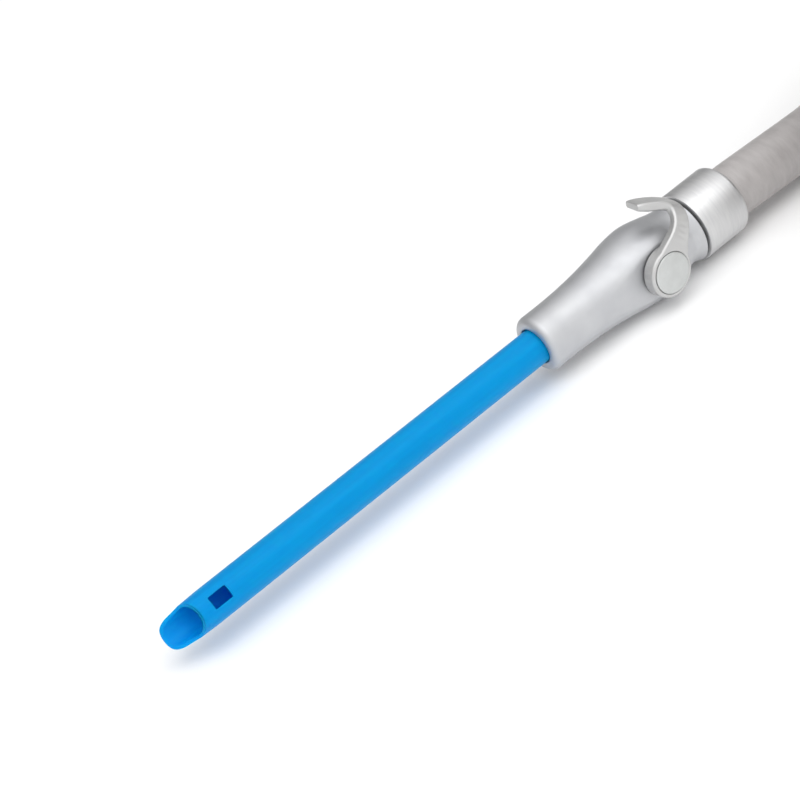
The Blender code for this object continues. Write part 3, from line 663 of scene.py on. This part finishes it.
# %% Body outline
BODY_LENGTH = (body_high.x - body_low.x) / MM
NOSE_R, NOSE_ROUND, HUMP_R, HUMP_X, NECK_R, REAR_R = 8.8, 2.3, 12.05, 41.6, 9.6, 10.5
SOCKET_R, FLOW_R, SWIVEL_R = 5.65, 3.6, 7.3
FLAT, FLAT_R, FLAT_BLEND = 9.3, 14.5, 0.3  # its place, the radius of its rounded rear end, its softness
FLAT_BORDER = 1.2  # over which it fades out, half of it on each side of the radius
PIVOT_FROM_NOSE = (PIVOT.x - NOSE.x) / MM
SPOOL_BORE_R, FAR_SEAT, FAR_SEAT_R = 6.5, 8.4, 12


def body_outside():
    rise, fall = HUMP_R - NOSE_R, HUMP_R - NECK_R
    front = [(0.18, 0.01), (0.36, 0.09), (0.54, 0.27), (0.72, 0.56), (0.87, 0.86)]
    rear = [(0.2, 0.1), (0.45, 0.5), (0.65, 0.86), (0.82, 1.0)]
    swell = [(NOSE_ROUND, NOSE_R)]
    swell += [(NOSE_ROUND + (HUMP_X - NOSE_ROUND) * a, NOSE_R + rise * b) for a, b in front]
    swell += [(HUMP_X, HUMP_R)]
    swell += [(HUMP_X + (BODY_LENGTH - HUMP_X) * a, HUMP_R - fall * b) for a, b in rear]
    swell += [(BODY_LENGTH - 0.3, REAR_R)]
    nose = arc((NOSE_ROUND, NOSE_R - NOSE_ROUND), NOSE_ROUND, 180, 90, 12)
    side = [p[:2] for p in flowing([(x, r, 0) for x, r in swell], 10)]
    return nose + side[1:] + [(BODY_LENGTH, REAR_R - 0.3)]


def body_inside():
    swivel_x, stop = BODY_LENGTH - 7.5, 25.5
    return [(BODY_LENGTH, SWIVEL_R), (swivel_x, SWIVEL_R), (swivel_x, FLOW_R), (stop, FLOW_R),
            (stop, SOCKET_R), (0.5, SOCKET_R), (0.15, SOCKET_R + 0.12), (0, SOCKET_R + 0.45)]


# %% Flat, bore and seat
def drawn_back(reach, limit, blend_mm):
    """The smaller of the two numbers, rounded over where they meet."""
    return (reach + limit - math.sqrt((reach - limit) ** 2 + blend_mm ** 2)) / 2


def handpiece_body():
    body = lathe("handpiece_shell", body_outside() + body_inside(), 192)
    for vertex in body.data.vertices:
        x, y, z = vertex.co / MM
        if y > -FLAT + 1:
            continue
        ahead = x - PIVOT_FROM_NOSE
        away = math.hypot(ahead, z) if ahead > 0 else 0
        share = min(1.0, max(0.0, (FLAT_R + FLAT_BORDER / 2 - away) / FLAT_BORDER))
        share = share * share * (3 - 2 * share)
        vertex.co.y = (y + (-drawn_back(-y, FLAT, FLAT_BLEND) - y) * share) * MM
    seat = [(-20, 0), (-20, SPOOL_BORE_R), (FAR_SEAT, SPOOL_BORE_R)]
    seat += [(FAR_SEAT, FAR_SEAT_R), (20, FAR_SEAT_R), (20, 0)]
    across = lathe("spool_bore", seat, 96, "Y")
    across.location = (PIVOT_FROM_NOSE * MM, 0, 0)
    apply_all(across)
    cut(body, across)
    hand_over(smooth_shade(body, 30), NOSE, "handpiece", SATIN, "satin_aluminium", "handpiece_body")


handpiece_body()

# %% [markdown]
# ## The valve
# The lever is a casting, so nothing on it is sharp. The quickest way to such a shape is the solid itself: a
# copy of it is merged, rebuilt from voxels 0.15 mm wide, and relaxed, as tumbling would do.

# %% Control lever
VOXEL = 0.15  # mm


def control_lever():
    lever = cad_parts["control_lever"].copy()
    lever.data = lever.data.copy()
    for key in list(lever.keys()):
        del lever[key]
    lever.name = "side_lever"
    lever.parent = None
    bpy.context.collection.objects.link(lever)
    only(lever)
    bpy.ops.object.mode_set(mode="EDIT")
    bpy.ops.mesh.select_all(action="SELECT")
    bpy.ops.mesh.remove_doubles(threshold=1e-6)
    bpy.ops.object.mode_set(mode="OBJECT")
    voxels = lever.modifiers.new("voxels", "REMESH")
    voxels.mode = "VOXEL"
    voxels.voxel_size = VOXEL * MM
    tumble = lever.modifiers.new("tumble", "SMOOTH")
    tumble.factor = 0.5
    tumble.iterations = 10
    apply_all(lever)
    hand_over(smooth_shade(lever, 80), (0, 0, 0), "valve", CAST, "lever_satin_metal", "control_lever")


control_lever()

# %% [markdown]
# The cap is pressed into the hub and hides the screw. The spool and its washer show only on the far side,
# where the spool's head turns on a milled seat. All of them are turned round the valve's axis. The cap is
# drawn a little wide, so that it fills its pocket but for a hairline.

# %% Cap, spool and washer
CAP_R = 6.12
SPOOL_R, SPOOL_HEAD_R, SPOOL_END_R, SEAL_FLOOR_R = 6.2, 7.2, 3.2, 4.5
SEAL_GROOVE = (5.6, 7.6)  # from the flow axis, on both sides


def valve_pieces():
    face = (cap_low.y - NOSE.y) / MM
    back = (cap_high.y - NOSE.y) / MM
    outline = [(face, 0), (face, 3), (face + 0.02, CAP_R - 0.5), (face + 0.12, CAP_R - 0.15)]
    outline += [(face + 0.3, CAP_R), (back, CAP_R), (back, 0)]
    cap = lathe("hub_cap", outline, 128, "Y")
    hand_over(smooth_shade(cap), PIVOT, "valve", FACED, "cap_satin_metal", "lever_cap")

    low, high = [(v.y - NOSE.y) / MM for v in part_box("valve_spool")]
    washer_low, washer_high = [(v.y - NOSE.y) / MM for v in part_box("spool_washer")]
    head = washer_high + 0.3
    near, far = SEAL_GROOVE
    outline = [(low, 0), (low, SPOOL_END_R), (low + 1.5, SPOOL_END_R), (low + 1.5, SPOOL_R)]
    outline += [(-far, SPOOL_R), (-far, SEAL_FLOOR_R), (-near, SEAL_FLOOR_R), (-near, SPOOL_R)]
    outline += [(near, SPOOL_R), (near, SEAL_FLOOR_R), (far, SEAL_FLOOR_R), (far, SPOOL_R)]
    outline += [(head, SPOOL_R), (head, SPOOL_HEAD_R), (high - 0.5, SPOOL_HEAD_R)]
    outline += [(high, 6.7), (high, 1.2), (high - 0.5, 0.7), (high - 0.5, 0)]
    spool = lathe("spool_plug", outline, 128, "Y")
    bpy.ops.object.select_all(action="DESELECT")
    bpy.ops.mesh.primitive_cube_add(size=1)
    port = bpy.context.object
    port.scale = (20 * MM, 9 * MM, 5 * MM)
    apply_all(port)
    ease(port, 2.45 * MM, 60, 8)
    cut(spool, port)
    hand_over(smooth_shade(spool), PIVOT, "valve", STEEL, "stainless_steel", "valve_spool")

    outline = [(washer_low, SPOOL_BORE_R), (washer_high, SPOOL_BORE_R)]
    outline += [(washer_high, SPOOL_HEAD_R), (washer_low, SPOOL_HEAD_R)]
    washer = lathe("spool_thrust_washer", outline, 128, "Y")
    hand_over(smooth_shade(washer), PIVOT, "handpiece", PTFE, "white_ptfe", "spool_washer")


valve_pieces()

# %% [markdown]
# ## The collar
# A plain turned sleeve with a small chamfer in front and a full round behind, where the hose goes in. A dark
# ring is left open between it and the body, because the two turn against each other.

# %% Swivel collar
COLLAR_BORE_R, COLLAR_MOUTH_R, COLLAR_ROUND = 9.1, 8.8, 1.4


def swivel_collar():
    length = (collar_high.x - collar_low.x) / MM
    outer = (collar_high.z - collar_low.z) / 2 / MM
    outline = [(0, SWIVEL_R), (0, outer - 0.35), (0.12, outer - 0.1), (0.35, outer)]
    outline += arc((length - COLLAR_ROUND, outer - COLLAR_ROUND), COLLAR_ROUND, 90, 10, 10)
    outline += [(length - 0.1, 9.4), (length - 0.3, 8.95), (length - 0.8, COLLAR_MOUTH_R)]
    outline += [(length - 2, COLLAR_MOUTH_R), (length - 2, COLLAR_BORE_R)]
    outline += [(2.5, COLLAR_BORE_R), (2.5, SWIVEL_R)]
    collar = lathe("swivel_sleeve", outline, 192)
    at = (collar_low.x, NOSE.y, NOSE.z)
    hand_over(smooth_shade(collar, 30), at, "hose_side", TURNED, "collar_anodised", "swivel_collar")


swivel_collar()

# %% [markdown]
# ## Inner parts
# Seals, screw, snap ring and tailpiece are inside and are right as they are. They get their finishes, so
# that what a gap lets through is never bare.

# %% Finishes of the inner parts
INNER = {
    "tip_seal_front": RUBBER,
    "tip_seal_rear": RUBBER,
    "spool_seal_lever_side": RUBBER,
    "spool_seal_far_side": RUBBER,
    "swivel_seal": RUBBER,
    "lever_screw": STEEL,
    "hose_tailpiece": STEEL,
    "swivel_snap_ring": STEEL,
    "hose_end": VINYL,
}
for name, finish in INNER.items():
    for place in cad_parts[name].material_slots:
        place.material = finish
print(len(INNER), "inner parts finished")

# %% [markdown]
# ## Stage
# A white table under a soft sky. The sky is bright in front and overhead and much darker behind, because
# smooth metal shows whatever stands round it: the dark back of the sky is what draws the line along its
# upper edge. One large panel, overhead and a little in front, gives the long highlights and the soft shadow.
# Colours are shown as they are, with the standard view, so that a white table stays white.

# %% Table and light
def stage():
    bpy.ops.object.select_all(action="DESELECT")
    bpy.ops.mesh.primitive_plane_add(size=8, location=(0, 0, -0.02 * MM))
    table = bpy.context.object
    table.name = "table"
    made, tree, shader, place = start("table_white_laminate")
    blend(tree, shader, "Base Color", grain(tree, place, 60.0), "#fafafa", "#fcfcfc")
    blend(tree, shader, "Roughness", grain(tree, place, 20.0), 0.8, 0.9)
    table.data.materials.append(made)


def panel(name, location, target, size, watts):
    """A soft rectangular light that faces the target."""
    bpy.ops.object.light_add(type="AREA", location=location)
    lamp = bpy.context.object
    lamp.name = name
    lamp.data.shape = "RECTANGLE"
    lamp.data.size, lamp.data.size_y = size
    lamp.data.energy = watts
    lamp.rotation_mode = "QUATERNION"
    lamp.rotation_quaternion = (Vector(target) - Vector(location)).to_track_quat("-Z", "Y")


def sky(middle, stops):
    """A grey sky. Its brightness goes by how near a direction is to its bright middle: 0 across, 1 there."""
    world = bpy.data.worlds.new("studio")
    bpy.context.scene.world = world
    world.use_nodes = True
    tree = world.node_tree
    toward = add(tree, "ShaderNodeTexCoord").outputs["Generated"]
    values = {0: toward, 1: Vector(middle).normalized()}
    near = add(tree, "ShaderNodeVectorMath", values, operation="DOT_PRODUCT").outputs["Value"]
    ramp = add(tree, "ShaderNodeValToRGB", {"Fac": near})
    while len(ramp.color_ramp.elements) < len(stops):
        ramp.color_ramp.elements.new(0.5)
    for stop, (place, bright) in zip(ramp.color_ramp.elements, stops):
        stop.position = place
        stop.color = (bright, bright, bright, 1)
    tree.links.new(ramp.outputs["Color"], tree.nodes["Background"].inputs["Color"])
    tree.nodes["Background"].inputs["Strength"].default_value = 1.0


stage()
sky((0, -0.6, 0.8), [(0.0, 0.34), (0.2, 0.58), (0.5, 1.1), (1.0, 1.15)])
panel("key_panel", (0.0, -0.45, 1.15), (0.03, 0, 0), (1.6, 0.9), 5.5)
bpy.context.scene.view_settings.view_transform = "Standard"
